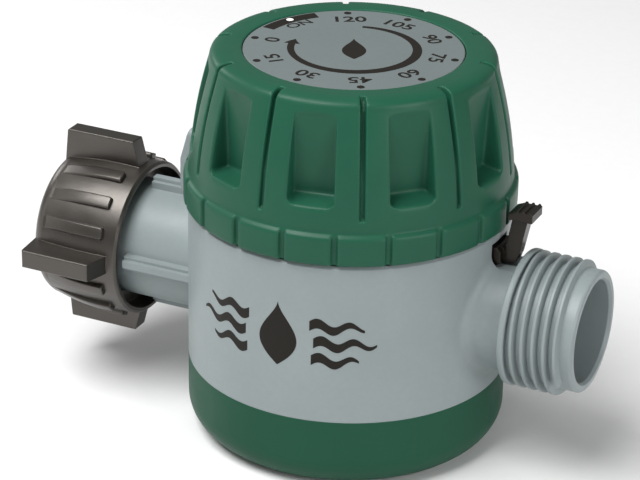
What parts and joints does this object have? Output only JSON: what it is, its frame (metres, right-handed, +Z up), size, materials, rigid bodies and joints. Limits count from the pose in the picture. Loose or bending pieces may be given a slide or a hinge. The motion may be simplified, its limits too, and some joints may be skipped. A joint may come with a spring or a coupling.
{
  "type": "hose tap water timer",
  "caption": "Wind-up water timer: round valve body with a ribbed dial on top, threaded outlet, winged swivel hose nut at the inlet and a thumb lever.",
  "frame": {"origin": "centre of the flat underside, on the dial's axis", "axes": "+Z up along the dial's axis, +X out of the threaded outlet, -Y the front"},
  "size_m": [0.1164, 0.0658, 0.08],
  "materials": {
    "green_plastic": "satin moulded ABS",
    "dial_green": "satin moulded ABS",
    "gray_plastic": "fine moulded texture",
    "label": "printed plastic sheet",
    "black_nut": "fine moulded texture",
    "black_lever": "satin moulding",
    "natural_plastic": "natural acetal",
    "rubber": "moulded rubber",
    "brass": "rolled and cut",
    "steel": "turned",
    "spring_steel": "drawn",
    "screws": "zinc plated",
    "mesh": "woven"
  },
  "bodies": {
    "housing": {"housing_body": "gray_plastic", "base_cap": "green_plastic", "valve_bonnet": "natural_plastic", "bonnet_screws": "screws", "diaphragm": "rubber", "plunger_seal": "rubber", "gland_cap": "natural_plastic", "plunger_spring": "spring_steel", "valve_spring": "spring_steel", "lower_plate": "brass", "upper_plate": "brass", "clock_pillars": "brass", "clock_screws": "screws", "mainspring": "spring_steel", "spring_post": "steel", "lever_pin": "steel", "lever_spring": "spring_steel", "inlet_washer": "rubber", "inlet_filter": "mesh"},
    "dial": {"dial_knob": "dial_green", "dial_label": "label", "knob_screw": "screws", "dial_arbor": "steel", "great_wheel": "brass", "clutch_washer": "spring_steel", "valve_cam": "natural_plastic"},
    "second": {"second_pinion": "steel", "second_wheel": "brass"},
    "escape": {"escape_pinion": "steel", "escape_wheel": "brass"},
    "verge": {"verge": "brass", "verge_pins": "steel", "verge_arbor": "steel"},
    "plunger": {"pilot_plunger": "natural_plastic"},
    "valve": {"diaphragm_plate": "natural_plastic"},
    "lever": {"thumb_lever": "black_lever"},
    "nut": {"swivel_nut": "black_nut"}
  },
  "joints": [
    {"name": "dial_turn", "type": "hinge", "parent": "housing", "child": "dial", "pos_m": [0, 0, 0.06], "axis": [0, 0, 1], "range_deg": [-298.67, 25.33], "deforming": ["mainspring"]},
    {"name": "second_spin", "type": "hinge", "parent": "housing", "child": "second", "pos_m": [0.007, -0.01212, 0.06], "axis": [0, 0, 1], "range_deg": [-152.1, 1792.1]},
    {"name": "escape_spin", "type": "hinge", "parent": "housing", "child": "escape", "pos_m": [0.01451, -0.00381, 0.06], "axis": [0, 0, 1], "range_deg": [-10753, 913]},
    {"name": "verge_rock", "type": "hinge", "parent": "housing", "child": "verge", "pos_m": [0.01355, 0.00399, 0.06], "axis": [0, 0, 1], "range_deg": [-6, 6]},
    {"name": "plunger_slide", "type": "slide", "parent": "housing", "child": "plunger", "axis": [0, 0, 1], "range_m": [-0.0001, 0.0012], "deforming": ["plunger_spring"]},
    {"name": "valve_slide", "type": "slide", "parent": "housing", "child": "valve", "axis": [0, 0, -1], "range_m": [-0.00017, 0.002], "deforming": ["valve_spring", "diaphragm"]},
    {"name": "lever_press", "type": "hinge", "parent": "housing", "child": "lever", "pos_m": [0.0303, 0, 0.0443], "axis": [0, 1, 0], "range_deg": [0, 6], "stiffness_Nm_per_rad": 0.02, "springref_deg": -11.46, "deforming": ["lever_spring"]},
    {"name": "nut_spin", "type": "hinge", "parent": "housing", "child": "nut", "pos_m": [-0.054, 0, 0.0301], "axis": [1, 0, 0], "continuous": true}
  ],
  "couplings": [
    {"joint": "second_spin", "follows": "dial_turn", "ratio": -6},
    {"joint": "escape_spin", "follows": "dial_turn", "ratio": 36},
    {"joint": "plunger_slide", "follows": "dial_turn", "m_per_rad": -0.00023021},
    {"joint": "valve_slide", "follows": "dial_turn", "m_per_rad": -0.00038368}
  ]
}
